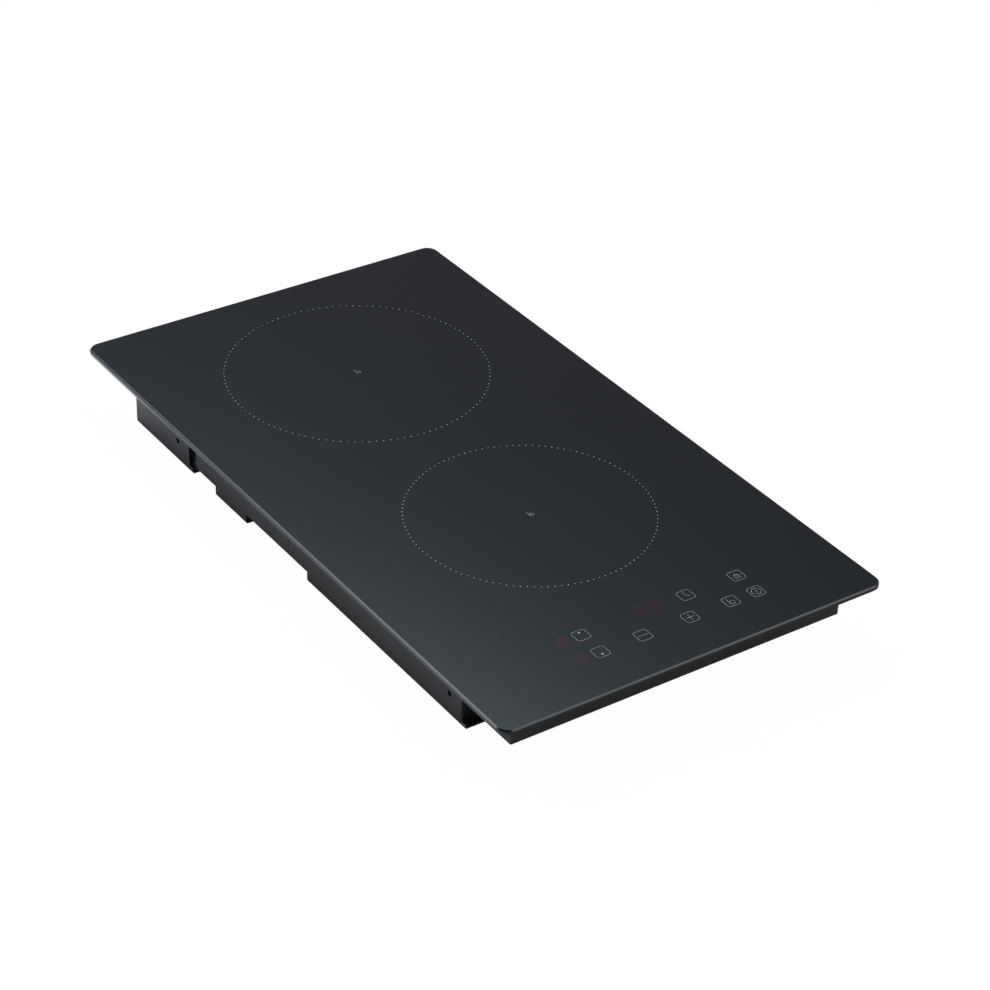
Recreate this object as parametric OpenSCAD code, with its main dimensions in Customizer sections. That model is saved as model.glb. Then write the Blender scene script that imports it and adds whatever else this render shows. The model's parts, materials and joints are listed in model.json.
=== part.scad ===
// Built-in induction hob with two cooking zones: a glass plate over a black case that
// holds two coils, their power electronics, a blower and a row of touch keys.
// Millimetres. +Z is up, -Y is the cook's side. The origin is the centre of the underside.

/* [Glass top] */
// Width of the glass plate, left to right
glass_w = 290; // [288:1:300]
// Depth of the glass plate, front to back
glass_d = 520; // [518:1:530]
// Thickness of the glass plate
glass_t = 4; // [3:0.5:5]
// Corner radius of the glass plate, seen from above
glass_r = 9; // [4:1:14]
// Width of the ground bevel round the upper edge
glass_bevel = 1; // [0.4:0.2:1.6]
// Width of the arris round the lower edge
glass_arris = 1; // [0.2:0.1:1]

/* [Case] */
// Height from the bottom cover to the upper face of the glass
total_h = 48; // [48:1:54]
// Width of the case
case_w = 252.4; // [251:0.2:254]
// Wall thickness of the case
wall = 2; // [1.6:0.2:2.2]
// Height of the shallow front part of the case, under the glass
front_h = 24.6; // [23:0.2:25]
// Height of the bottom edge of the deep side walls above the underside
skirt_z = 7.4; // [7:0.2:7.8]
// Distance between the two bracket holes in each side wall
bracket_pitch = 338; // [336:1:340]
// Diameter of the bracket holes
bracket_hole_d = 4; // [3.4:0.2:4.4]

/* [Cooking zones] */
// Diameter of the rear coil carrier
rear_carrier_d = 176; // [168:2:176]
// Diameter of the front coil carrier
front_carrier_d = 156; // [148:2:160]
// Distance of the rear zone's centre behind the middle of the glass
rear_zone_y = 131.8; // [130:0.2:132]
// Distance of the front zone's centre before the middle of the glass
front_zone_y = 78.4; // [76:0.2:82]

/* [Controls] */
// Distance between the columns and rows of touch keys
key_pitch = 20; // [19:0.5:20.5]
// Diameter of the contact spring under each key
key_spring_d = 9; // [7:0.5:10]

/* [Blower] */
// Diameter of the blower's impeller
impeller_d = 72; // [66:1:73]
// Number of blades on the impeller
blade_count = 30; // [18:1:36]

/* [Hidden] */

fine = 64;
round_fn = 32;
eps = 0.01;

// Heights, from the glass down to the coil plate and from the cover up to the boards
glass_z = total_h - glass_t;
insulation_t = 3;
winding_t = 5;
carrier_t = 4;
spring_h = 4;
plate_t = 1;
winding_z = glass_z - insulation_t - winding_t;
carrier_z = winding_z - carrier_t;
plate_z = carrier_z - spring_h - plate_t;
cover_t = 1.5;
board_z = 6.5;
board_t = 1.6;
parts_z = board_z + board_t;

// Case outline
half_w = case_w / 2;
inner_w = half_w - wall;
case_r = 1.2;
front_y = -glass_d / 2 + 19;
step_y = -glass_d / 2 + 70.4;
back_y = glass_d / 2 - 37;
front_z = glass_z - front_h;
front_floor_z = front_z + wall;
ledge_y = step_y - 5;
ledge_z = 2.6;

// Bracket holes and the flat pads round them
bracket_y = [-176.5, -176.5 + bracket_pitch];
bracket_z = 16.6;
pad_w = 26.4;
pad_t = 0.4;
groove = 0.5;

// Side windows, and the bays under the raised stretches of the side walls
window_y = [136.5, 146.2];
window_top = 28;
seam_y = 14;
bay_x = half_w - 22;
bays = [[-9, 69.5], [110.5, 142]];

// Fasteners
screw_r = 1.45;
pilot_r = 1.5;
head_r = 3;
head_h = 2;
boss_r = 4;
boss_x = half_w - 8;
cover_screw_y = [-181, -60, 90, 214.5];
side_screw_y = [-130, -20, 90, 195];
side_screw_z = glass_z - 8;
ledge_screw_y = [-165, -60, 60, 198];
plate_screw_x = half_w - 13.5;
ledge_h = 7;

// Boards on the bottom cover: [left, right], [front, back]
power_x = [-102, 62];
power_y = [-125, 92];
filter_x = [10, 102];
filter_y = [98, 190];
board_inset = 6;

// Blower axis and levels
blower = [-48, 152];
scroll_top = 19.5;
scroll_r = [39, 52];
scroll_a = [250, 540];
outlet_y = 98;
shaft_r = 1.5;
bearing_gap = 0.05;

// Supply cord entry and the clamp behind it
cable_x = 30;
cable_z = 14;
cable_r = 4.2;
clamp_y = 205;
clamp_z = 8;
clamp_t = 4;
clamp_pitch = 29;

// Touch keys: the selectors, minus, plus, timer, boost, lock and power
key_row = [-204.4, -224.4];
key_spots = [[-2.5 * key_pitch, key_row[0]], [-2.5 * key_pitch, key_row[1]],
    [-0.9 * key_pitch, key_row[1]], [0.9 * key_pitch, key_row[1]],
    [1.5 * key_pitch, key_row[0]], [2.5 * key_pitch, key_row[1]],
    [3.5 * key_pitch, key_row[0]], [3.5 * key_pitch, key_row[1]]];
digit_x = -64.2;
timer_x = 1.8;
control_x = [-80, 86];
control_y = [-237, -193];
control_z = glass_z - 12;

// ---------------------------------------------------------------- helpers

// A box between two opposite corners
module block(a, b) translate(a) cube(b - a);

// A box from ranges along x, y and z
module span(x, y, z) block([x[0], y[0], z[0]], [x[1], y[1], z[1]]);

// An upright round bar or tube standing on p
module rod(p, r, h, bore = 0) translate(p) difference() {
    cylinder(r = r, h = h, $fn = fine);
    if (bore > 0) translate([0, 0, -1]) cylinder(r = bore, h = h + 2, $fn = fine);
}

// A bar along x or y, centred on p
module rod_x(p, r, h) translate(p) rotate([0, 90, 0]) cylinder(r = r, h = h, center = true, $fn = fine);
module rod_y(p, r, h) translate(p) rotate([90, 0, 0]) cylinder(r = r, h = h, center = true, $fn = fine);

// The same shape on both sides of the middle plane
module both_sides() {
    children();
    mirror([1, 0, 0]) children();
}

// Rectangle with true round corners
module round_rect(w, d, r) {
    square([w - 2 * r, d], center = true);
    square([w, d - 2 * r], center = true);
    for (x = [-1, 1], y = [-1, 1])
        translate([x * (w / 2 - r), y * (d / 2 - r)]) circle(r = r, $fn = fine);
}

// Right half of a plate's section, with a bevel above and below
function half_section(h, t, top, bottom) = concat(
    bottom > 0 ? [[h - bottom, 0], [h, bottom]] : [[h, 0]],
    top > 0 ? [[h, t - top], [h - top, t]] : [[h, t]]);

function mirrored(pts) = [for (i = [len(pts) - 1 : -1 : 0]) [-pts[i][0], pts[i][1]]];

// Plate with round corners and bevelled edges, standing on z = 0
module bevelled_plate(w, d, t, r, top, bottom) {
    along_y = half_section(w / 2, t, top, bottom);
    along_x = half_section(d / 2, t, top, bottom);
    rotate([90, 0, 0]) linear_extrude(d - 2 * r, center = true)
        polygon(concat(along_y, mirrored(along_y)));
    rotate([90, 0, 90]) linear_extrude(w - 2 * r, center = true)
        polygon(concat(along_x, mirrored(along_x)));
    for (x = [-1, 1], y = [-1, 1])
        translate([x * (w / 2 - r), y * (d / 2 - r), 0]) rotate_extrude($fn = fine)
            polygon(concat([[0, 0]], half_section(r, t, top, bottom), [[0, t]]));
}

// Cross recess for a screwdriver, cut both ways from the origin
module cross_recess(deep) for (a = [0, 90])
    rotate([0, 0, a]) cube([3.6, 0.8, 2 * deep], center = true);

// Pan-head screw pointing down, its head standing on p
module pan_screw(p, length) difference() {
    union() {
        rod([p[0], p[1], p[2] - length], screw_r, length + head_h / 2);
        rod(p, head_r, head_h);
    }
    translate([p[0], p[1], p[2] + head_h]) cross_recess(0.8);
}

// One pass of corner cutting on a route, and two of them
function cut_corners(p) = concat([p[0]],
    [for (i = [0 : len(p) - 2]) each [0.75 * p[i] + 0.25 * p[i + 1], 0.25 * p[i] + 0.75 * p[i + 1]]],
    [p[len(p) - 1]]);
function smooth(p) = cut_corners(cut_corners(p));
function unit(v) = v / norm(v);
function heading(p, i) = unit(p[min(i + 1, len(p) - 1)] - p[max(i - 1, 0)]);

// Round wire swept along points
module wire(points, r, sides = 8) {
    p = points;
    rings = [for (i = [0 : len(p) - 1])
        let (t = heading(p, i), up = abs(t[2]) > 0.9 ? [0, 1, 0] : [0, 0, 1],
            a = unit(cross(up, t)), b = cross(t, a))
        each [for (k = [0 : sides - 1]) p[i] + r * (cos(360 * k / sides) * a + sin(360 * k / sides) * b)]];
    walls = [for (i = [0 : len(p) - 2], k = [0 : sides - 1])
        let (n = (k + 1) % sides, a = i * sides, b = a + sides)
        each [[a + k, b + k, b + n], [a + k, b + n, a + n]]];
    ends = [[for (k = [0 : sides - 1]) k], [for (k = [sides - 1 : -1 : 0]) (len(p) - 1) * sides + k]];
    polyhedron(rings, concat(walls, ends));
}

// Helical spring standing on p
module spring(p, r, h, turns, wire_r) {
    steps = 12 * turns;
    rise = h - 2 * wire_r;
    wire([for (i = [0 : steps]) p + [r * cos(30 * i), r * sin(30 * i), wire_r + rise * i / steps]],
        wire_r, 6);
}

// ---------------------------------------------------------------- glass and its seals

module glass_top() color([0.10, 0.11, 0.12])
    translate([0, 0, glass_z]) bevelled_plate(glass_w, glass_d, glass_t, glass_r, glass_bevel, glass_arris);

module foam_seal() color([0.06, 0.06, 0.06]) {
    inset = 3;
    width = 10;
    translate([0, 0, glass_z - 2]) linear_extrude(2) difference() {
        round_rect(glass_w - 2 * inset, glass_d - 2 * inset, glass_r - inset);
        square([glass_w - 2 * (inset + width), glass_d - 2 * (inset + width)], center = true);
    }
}

rail_y = [-150, 205];
rail_t = 1.2;
bond_t = 0.7;
flange_w = 18;

// Angle rail glued under the glass, with a leg inside the case wall
module glass_rail() difference() {
    union() {
        span([inner_w - flange_w, inner_w], rail_y, [glass_z - bond_t - 1, glass_z - bond_t]);
        span([inner_w - rail_t, inner_w], rail_y, [plate_z + 2, glass_z - bond_t]);
    }
    for (y = side_screw_y) rod_x([inner_w, y, side_screw_z], pilot_r, 10);
}

module right_glass_rail() color([0.72, 0.73, 0.74]) glass_rail();
module left_glass_rail() color([0.72, 0.73, 0.74]) mirror([1, 0, 0]) glass_rail();

module silicone_bond() color([0.2, 0.2, 0.21]) both_sides()
    span([inner_w - flange_w + 2, inner_w - 2], rail_y, [glass_z - bond_t, glass_z]);

// ---------------------------------------------------------------- case

// Walls round the deep part and the box of the shallow front part
module case_shell() difference() {
    union() {
        translate([0, (step_y + back_y) / 2, skirt_z]) linear_extrude(glass_z - skirt_z)
            round_rect(case_w, back_y - step_y, case_r);
        translate([0, (front_y + step_y) / 2 + 5, front_z])
            bevelled_plate(case_w, step_y - front_y + 10, front_h, case_r, 0, 0.4);
    }
    span([-inner_w, inner_w], [step_y + wall, back_y - wall], [0, total_h]);
    span([-inner_w, inner_w], [front_y + wall, step_y + wall + eps], [front_floor_z, total_h]);
}

// Screw boss for the bottom cover, tied to the side wall
module cover_boss(y) {
    rod([boss_x, y, cover_t], boss_r, 12.5);
    span([boss_x, inner_w + eps], [y - 2, y + 2], [skirt_z, cover_t + 12.5]);
}

// Bearer on the side wall that carries the coil plate
module plate_bearer(y) span([plate_screw_x - 5, inner_w + eps], [y - 6, y + 6], [plate_z - ledge_h, plate_z]);

module case_vents() {
    for (i = [0 : 13]) span([-98 + 7 * i, -95 + 7 * i], [back_y - 3, back_y + 1], [14, 32]);
}

module case() color([0.16, 0.16, 0.17]) difference() {
    union() {
        case_shell();
        both_sides() {
            for (y = cover_screw_y) cover_boss(y);
            for (y = ledge_screw_y) plate_bearer(y);
            for (y = bracket_y) {
                span([half_w - eps, half_w + pad_t], [y - pad_w / 2, y + pad_w / 2], [skirt_z, glass_z]);
                rod_x([inner_w - 2.5, y, bracket_z], 4.5, 7);
            }
            span([half_w - eps, half_w + pad_t], [window_y[1] - 1, bracket_y[1]], [skirt_z, glass_z]);
        }
    }
    both_sides() {
        for (y = bracket_y) rod_x([half_w, y, bracket_z], bracket_hole_d / 2, 30);
        for (edge = [bracket_y[0] - pad_w / 2 - groove, bracket_y[0] + pad_w / 2, bracket_y[1] + pad_w / 2])
            span([half_w - groove, half_w + 1], [edge, edge + groove], [0, total_h]);
        for (y = cover_screw_y) rod([boss_x, y, 0], pilot_r, 12);
        for (y = ledge_screw_y) rod([plate_screw_x, y, plate_z - 6], pilot_r, 10);
        for (y = side_screw_y) rod_x([half_w, y, side_screw_z], pilot_r, 12);
        difference() {
            union() {
                span([inner_w - 1, half_w + 1], window_y, [skirt_z - 1, window_top]);
                span([inner_w - 1, half_w - 0.6], [window_y[0], window_y[1] + 3], [skirt_z + 2, window_top]);
            }
            span([inner_w - 0.5, inner_w + 0.2], [140, 141], [skirt_z, window_top]);
        }
        span([half_w - 0.3, half_w + 1], [seam_y, seam_y + 0.4], [0, total_h]);
    }
    case_vents();
    rod_y([cable_x, back_y, cable_z], 6.5, 10);
}

// ---------------------------------------------------------------- bottom cover

// Plate with an upturned lip, raised over the side bays
module cover_tray() difference() {
    union() {
        translate([0, (ledge_y + back_y) / 2, 0])
            bevelled_plate(case_w, back_y - ledge_y, ledge_z, case_r, 0.4, 1);
        translate([0, (step_y + back_y) / 2, 1]) linear_extrude(skirt_z - 1)
            round_rect(case_w, back_y - step_y, case_r);
    }
    span([1.5 - half_w, half_w - 1.5], [step_y + wall, back_y - 1.5], [cover_t, total_h]);
}

module bay_roof(y) span([bay_x - 1.5, inner_w], [y[0] - 1.5, y[1] + 1.5], [1, skirt_z + 1.5]);
module bay_space(y) span([bay_x, half_w + 1], y, [-1, skirt_z]);

// Vent slots through the roof of a bay
module bay_vents(y) for (v = [y[0] + 6 : 8 : y[1] - 6])
    span([bay_x + 4, bay_x + 16], [v - 1.5, v + 1.5], [skirt_z - 1, skirt_z + 3]);

// Round field of slots under the blower
module intake_grille(r) for (i = [-5 : 5]) {
    half = sqrt(r * r - pow(5.2 * i, 2));
    translate([blower[0], blower[1] + 5.2 * i, 0]) cube([2 * half, 3, 8], center = true);
}

// Posts that carry a board, and their places
function board_spots(x, y) = [for (u = [x[0] + board_inset, x[1] - board_inset],
    v = [y[0] + board_inset, y[1] - board_inset]) [u, v]];
board_posts = concat(board_spots(power_x, power_y), board_spots(filter_x, filter_y));

module bottom_cover() color([0.2, 0.2, 0.21]) difference() {
    union() {
        cover_tray();
        both_sides() for (y = bays) bay_roof(y);
        for (p = board_posts) rod([p[0], p[1], 1], 3.5, board_z - 1);
        for (x = [-1, 1]) rod([cable_x + clamp_pitch / 2 * x, clamp_y, 1], 4, clamp_z - 1);
    }
    both_sides() {
        for (y = bays) {
            bay_space(y);
            bay_vents(y);
        }
        span([half_w - 1.6, half_w + 1], [bays[1][1] - eps, window_y[1]], [4, skirt_z + 1]);
        for (y = cover_screw_y) translate([boss_x, y, -1]) {
            cylinder(r = 1.7, h = 5, $fn = fine);
            cylinder(r = head_r + 0.1, h = 2, $fn = fine);
        }
    }
    intake_grille(30);
    for (i = [-8 : 8]) span([10 * i - 1.5, 10 * i + 1.5], [-178, -138], [-1, 4]);
    for (p = board_posts) rod([p[0], p[1], 2], pilot_r, 10);
    for (x = [-1, 1]) rod([cable_x + clamp_pitch / 2 * x, clamp_y, 2], pilot_r, 10);
}

module cover_screws() color([0.6, 0.6, 0.62]) both_sides() for (y = cover_screw_y) difference() {
    union() {
        rod([boss_x, y, 0.2], head_r, 0.8);
        rod([boss_x, y, 0.5], screw_r, 10);
    }
    translate([boss_x, y, 0.2]) cross_recess(0.5);
}

module side_screws() color([0.6, 0.6, 0.62]) both_sides() for (y = side_screw_y) difference() {
    union() {
        rod_x([half_w + 0.8, y, side_screw_z], head_r, 1.6);
        rod_x([half_w - 3, y, side_screw_z], screw_r, 8);
    }
    translate([half_w + 1.6, y, side_screw_z]) rotate([0, 90, 0]) cross_recess(0.8);
}

// The same pan-head screw holds the coil plate, both boards and the cable clamp
module inner_screws() color([0.6, 0.6, 0.62]) {
    both_sides() for (y = ledge_screw_y) pan_screw([plate_screw_x, y, plate_z + plate_t], 5);
    for (p = board_posts) pan_screw([p[0], p[1], parts_z], 5);
    for (x = [-1, 1]) pan_screw([cable_x + clamp_pitch / 2 * x, clamp_y, clamp_z + clamp_t], 5);
}

// ---------------------------------------------------------------- coils

rear_zone = [0, rear_zone_y];
front_zone = [0, -front_zone_y];
pin_angles = [90, 210, 330];
lead_x = [41, 53];
lead_y = [46, -2];

function polar(c, r, a) = [c[0] + r * cos(a), c[1] + r * sin(a)];

module coil_plate() color([0.75, 0.76, 0.78]) difference() {
    span([-half_w + 7, half_w - 7], [step_y + 5, back_y - 6], [plate_z, plate_z + plate_t]);
    for (c = [[rear_zone, rear_carrier_d], [front_zone, front_carrier_d]]) {
        for (a = pin_angles) rod(concat(polar(c[0], c[1] / 2 - 14, a), [plate_z - 1]), 3, 4);
        rod(concat(c[0], [plate_z - 1]), 6, 4);
    }
    for (y = lead_y) span([35, 59], [y - 6, y + 6], [plate_z - 1, plate_z + 3]);
    both_sides() for (y = ledge_screw_y) rod([plate_screw_x, y, plate_z - 1], 1.7, 4);
}

// Plastic disc with pockets for the ferrite bars and three guide pins
module coil_carrier(c, d) translate([c[0], c[1], carrier_z]) {
    difference() {
        cylinder(d = d, h = carrier_t, $fn = fine);
        translate([0, 0, -1]) cylinder(r = 4, h = carrier_t + 2, $fn = fine);
        for (a = [0 : 45 : 315]) rotate([0, 0, a + 22.5])
            translate([24, -6, -1]) cube([d / 2 - 34, 12, carrier_t]);
    }
    for (a = pin_angles) translate(concat(polar([0, 0], d / 2 - 14, a), [-spring_h - plate_t]))
        cylinder(r = 2.5, h = spring_h + plate_t + 1, $fn = round_fn);
}

// Flat litz winding, one round turn beside the next
inner_turn_r = 24;
turn_pitch = 4.4;
function turns(d) = floor((d / 2 - 4 - inner_turn_r) / turn_pitch);
function winding_r(d) = inner_turn_r + turn_pitch * turns(d) + winding_t / 2;
module coil_winding(c, d) translate([c[0], c[1], winding_z]) rotate_extrude($fn = fine)
    for (i = [0 : turns(d)]) translate([inner_turn_r + turn_pitch * i, winding_t / 2])
        circle(d = winding_t, $fn = round_fn);

module ferrite_bars(c, d) translate([c[0], c[1], carrier_z]) for (a = [0 : 45 : 315])
    rotate([0, 0, a + 22.5]) translate([24.2, -5.8, 0]) cube([d / 2 - 34.4, 11.6, carrier_t - 1]);

module insulation_disc(c, d) rod(concat(c, [glass_z - insulation_t]), d / 2 - 1, insulation_t, 12);

// Thermistor in its holder, pressed against the glass
module zone_sensor(c) {
    rod(concat(c, [winding_z]), 10, 2);
    rod(concat(c, [winding_z + 1]), 5, glass_z - winding_z - 1);
}

module carrier_springs(c, d) for (a = pin_angles)
    spring(concat(polar(c, d / 2 - 14, a), [plate_z + plate_t]), 4, spring_h, 3, 0.4);

module rear_coil_carrier() color([0.85, 0.84, 0.8]) coil_carrier(rear_zone, rear_carrier_d);
module front_coil_carrier() color([0.85, 0.84, 0.8]) coil_carrier(front_zone, front_carrier_d);
module rear_coil_winding() color([0.72, 0.42, 0.2]) coil_winding(rear_zone, rear_carrier_d);
module front_coil_winding() color([0.72, 0.42, 0.2]) coil_winding(front_zone, front_carrier_d);
module rear_ferrites() color([0.2, 0.2, 0.22]) ferrite_bars(rear_zone, rear_carrier_d);
module front_ferrites() color([0.2, 0.2, 0.22]) ferrite_bars(front_zone, front_carrier_d);
module rear_insulation() color([0.9, 0.89, 0.84]) insulation_disc(rear_zone, rear_carrier_d);
module front_insulation() color([0.9, 0.89, 0.84]) insulation_disc(front_zone, front_carrier_d);
module rear_sensor() color([0.9, 0.9, 0.92]) zone_sensor(rear_zone);
module front_sensor() color([0.9, 0.9, 0.92]) zone_sensor(front_zone);
module rear_springs() color([0.7, 0.7, 0.72]) carrier_springs(rear_zone, rear_carrier_d);
module front_springs() color([0.7, 0.7, 0.72]) carrier_springs(front_zone, front_carrier_d);

// ---------------------------------------------------------------- power electronics

// Printed board with a screw hole in each corner
module board(x, y, z) difference() {
    span(x, y, [z, z + board_t]);
    for (p = board_spots(x, y)) rod([p[0], p[1], z - 1], 1.7, 4);
}

// Boxed component standing on a board: front left corner and size
module component(x, y, size) {
    translate([x, y, parts_z]) cube(size);
}

module power_board() color([0.1, 0.35, 0.2]) board(power_x, power_y, board_z);
module filter_board() color([0.1, 0.35, 0.2]) board(filter_x, filter_y, board_z);

sink_x = [-100, -44];
sink_y = [-60, 76];
package_t = 5;

// Extruded heatsink: a base with fins along y, on four legs
module heatsink() color([0.75, 0.76, 0.78]) {
    base_z = parts_z + package_t;
    fin_count = 14;
    fin_w = 1.5;
    pitch = (sink_x[1] - sink_x[0] - fin_w) / (fin_count - 1);
    translate([0, sink_y[1], 0]) rotate([90, 0, 0]) linear_extrude(sink_y[1] - sink_y[0]) {
        translate([sink_x[0], base_z]) square([sink_x[1] - sink_x[0], 3]);
        for (i = [0 : fin_count - 1]) translate([sink_x[0] + pitch * i, base_z + 1]) square([fin_w, 11]);
    }
    for (x = [sink_x[0], sink_x[1] - 5], y = [sink_y[0], sink_y[1] - 5])
        span([x, x + 5], [y, y + 5], [parts_z, base_z + 1]);
}

// Flat power transistor with three legs bent down to the board
module transistor(y) {
    component(-82, y - 8, [20.8, 16, package_t]);
    for (i = [-1 : 1]) {
        span([-62, -56], [y + 5 * i - 0.6, y + 5 * i + 0.6], [parts_z + 2, parts_z + 2.7]);
        span([-56.7, -56], [y + 5 * i - 0.6, y + 5 * i + 0.6], [parts_z, parts_z + 2.7]);
    }
}

module transistors() color([0.1, 0.1, 0.1]) for (y = [-44, -20, 4, 28]) transistor(y);

module bridge_rectifier() color([0.12, 0.12, 0.13]) {
    component(-84, 45, [22, 22, package_t]);
    for (i = [0 : 3]) {
        span([-63, -58], [48 + 5 * i, 49.2 + 5 * i], [parts_z + 2, parts_z + 2.7]);
        span([-58.7, -58], [48 + 5 * i, 49.2 + 5 * i], [parts_z, parts_z + 2.7]);
    }
}

module resonant_capacitors() color([0.85, 0.7, 0.15]) for (y = [-118, -96, 44, 66])
    component(-36, y, [32, 18, 16]);

module smoothing_capacitors() color([0.85, 0.85, 0.8]) for (y = [-66, -42, 14])
    component(-36, y, [42, 20, 16]);

// Ring core lying on a board with its copper turns round it
module ring_choke(c, r, h, turns) translate([c[0], c[1], parts_z]) {
    translate([0, 0, 1]) rotate_extrude($fn = fine) translate([r / 2, 0]) square([r / 2 - 1, h - 2]);
    for (i = [0 : turns - 1]) rotate([0, 0, 360 * i / turns])
        translate([r / 2 - 1, -0.8, 0]) cube([r / 2 + 1, 1.6, h]);
}

module power_choke() color([0.7, 0.42, 0.2]) ring_choke([34, -30], 20, 14, 24);
module filter_choke() color([0.7, 0.42, 0.2]) ring_choke([38, 150], 17, 16, 20);

module current_transformers() color([0.15, 0.15, 0.3]) for (y = [-92, 66])
    component(2, y, [16, 14, 14]);

module supply_transformer() color([0.85, 0.8, 0.4]) {
    component(22, -84, [22, 22, 3]);
    component(24, -82, [18, 18, 15]);
    component(22, -78, [22, 10, 15]);
}

module electrolytic_capacitors() color([0.12, 0.14, 0.2]) for (x = [16, 30, 44])
    rod([x, 20, parts_z], 6.25, 16);

module coil_terminals() color([0.8, 0.65, 0.3]) for (x = lead_x, y = lead_y) {
    rod([x, y, parts_z], 3.5, 6);
    translate([x, y, parts_z + 6]) cylinder(r = 3.5, h = 2, $fn = 6);
}

// White plug connectors: fan, two sensors, controls and the mains link
connector_spots = [[-16, 84], [50, 62], [50, -62], [50, -106], [8, -118]];
module board_connectors() color([0.92, 0.92, 0.9]) for (p = connector_spots)
    component(p[0], p[1], [9, 7, 7]);

// Plastic shroud that leads the blower's air through the fins
module air_guide() color([0.13, 0.13, 0.14]) {
    top = parts_z + package_t + 12.2;
    for (x = [sink_x[0] - 2, sink_x[1] + 1]) span([x, x + 1], [sink_y[0], 91.5], [parts_z, top + 0.8]);
    span([sink_x[0] - 2, sink_x[1] + 2], [sink_y[0], 91.5], [top, top + 0.8]);
}

// ---------------------------------------------------------------- mains side

module filter_capacitors() color([0.2, 0.3, 0.6]) for (y = [110, 132]) component(62, y, [32, 16, 15]);

fuse_y = 172;
fuse_z = parts_z + 6;

module fuse() color([0.8, 0.85, 0.85]) rod_x([78, fuse_y, fuse_z], 3.1, 32);

// Spring clips that cup the fuse near each end
module fuse_clips() color([0.75, 0.75, 0.72]) for (x = [66, 84]) difference() {
    span([x, x + 6], [fuse_y - 4, fuse_y + 4], [parts_z, fuse_z + 2]);
    rod_x([x + 3, fuse_y, fuse_z], 3.15, 10);
    span([x - 1, x + 7], [fuse_y - 2, fuse_y + 2], [fuse_z, fuse_z + 4]);
}

link_x = [24, 32];
block_x = [56, 104];
block_y = [196, 216];
pole_x = [64, 74, 84, 94];

module terminal_block() color([0.88, 0.88, 0.85]) difference() {
    union() {
        span(block_x, block_y, [cover_t, 12]);
        span([block_x[0] + 3, block_x[1] - 3], block_y, [cover_t, 18]);
    }
    for (x = pole_x) {
        rod([x + 1, 211, 8], 2.6, 12);
        rod([x + 1, 201, 8], 2.6, 12);
        rod_y([x + 1, 206, 6], 2, 30);
    }
}

module terminal_screws() color([0.8, 0.7, 0.4]) for (x = pole_x, y = [201, 211])
    rod([x + 1, y, 8], 2.4, 7);

// Saddle that grips the supply cord on its two posts
module cable_clamp() color([0.15, 0.15, 0.16]) difference() {
    union() {
        span([cable_x - 19, cable_x + 19], [clamp_y - 5, clamp_y + 5], [clamp_z, clamp_z + clamp_t]);
        rod_y([cable_x, clamp_y, cable_z], 6.5, 10);
    }
    rod_y([cable_x, clamp_y, cable_z], cable_r, 30);
    for (x = [-1, 1]) rod([cable_x + clamp_pitch / 2 * x, clamp_y, 0], 1.7, 30);
}

// Rubber grommet in the rear wall, where the supply cord goes in
module cable_gland() color([0.05, 0.05, 0.05]) difference() {
    union() {
        rod_y([cable_x, back_y + 1.5, cable_z], 9, 3);
        rod_y([cable_x, back_y - 1, cable_z], 6.4, 8);
        rod_y([cable_x, back_y - wall - 1, cable_z], 7.3, 2);
    }
    rod_y([cable_x, back_y, cable_z], cable_r, 30);
}

// ---------------------------------------------------------------- blower

// Points along the scroll's spiral, set off outwards
function scroll_points(off) = [for (i = [0 : 48])
    let (a = scroll_a[0] + (scroll_a[1] - scroll_a[0]) * i / 48,
        r = scroll_r[0] + (scroll_r[1] - scroll_r[0]) * i / 48 + off)
    [r * cos(a), r * sin(a)]];

// Outline of the scroll and its outlet towards the front, set off outwards
module scroll_outline(off) translate(blower) polygon(concat(scroll_points(off),
    [[-scroll_r[1] - off, outlet_y - blower[1]],
        [scroll_r[0] * cos(scroll_a[0]) + off, outlet_y - blower[1]]]));

module blower_scroll() color([0.13, 0.13, 0.14]) {
    difference() {
        translate([0, 0, cover_t]) linear_extrude(scroll_top - cover_t) scroll_outline(1.5);
        translate([0, 0, 3]) linear_extrude(scroll_top) scroll_outline(0);
        span([-99.5, -60], [outlet_y - 2, outlet_y + 3], [3, 30]);
        rod(concat(blower, [0]), 28, 5);
    }
}

// Lid with the tube that holds the motor's bearing
module blower_lid() color([0.15, 0.15, 0.16]) {
    translate([0, 0, scroll_top]) linear_extrude(1.5) scroll_outline(1.5);
    rod(concat(blower, [9]), 4, scroll_top - 9 + 0.5, 3);
}

module blower_bearing() color([0.75, 0.6, 0.3]) rod(concat(blower, [9.5]), 3, 8.5, shaft_r + bearing_gap);

// Wound stator with six poles round the bearing tube
module blower_stator() color([0.6, 0.35, 0.2]) translate(concat(blower, [10])) difference() {
    union() {
        cylinder(r = 7, h = 6, $fn = fine);
        for (a = [0 : 60 : 300]) rotate([0, 0, a]) translate([0, -2, 0]) cube([11, 4, 6]);
    }
    translate([0, 0, -1]) cylinder(r = 4, h = 8, $fn = fine);
}

cup_r = 15;
magnet_r = [12, 13];
rotor_top = 17.8;

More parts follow.
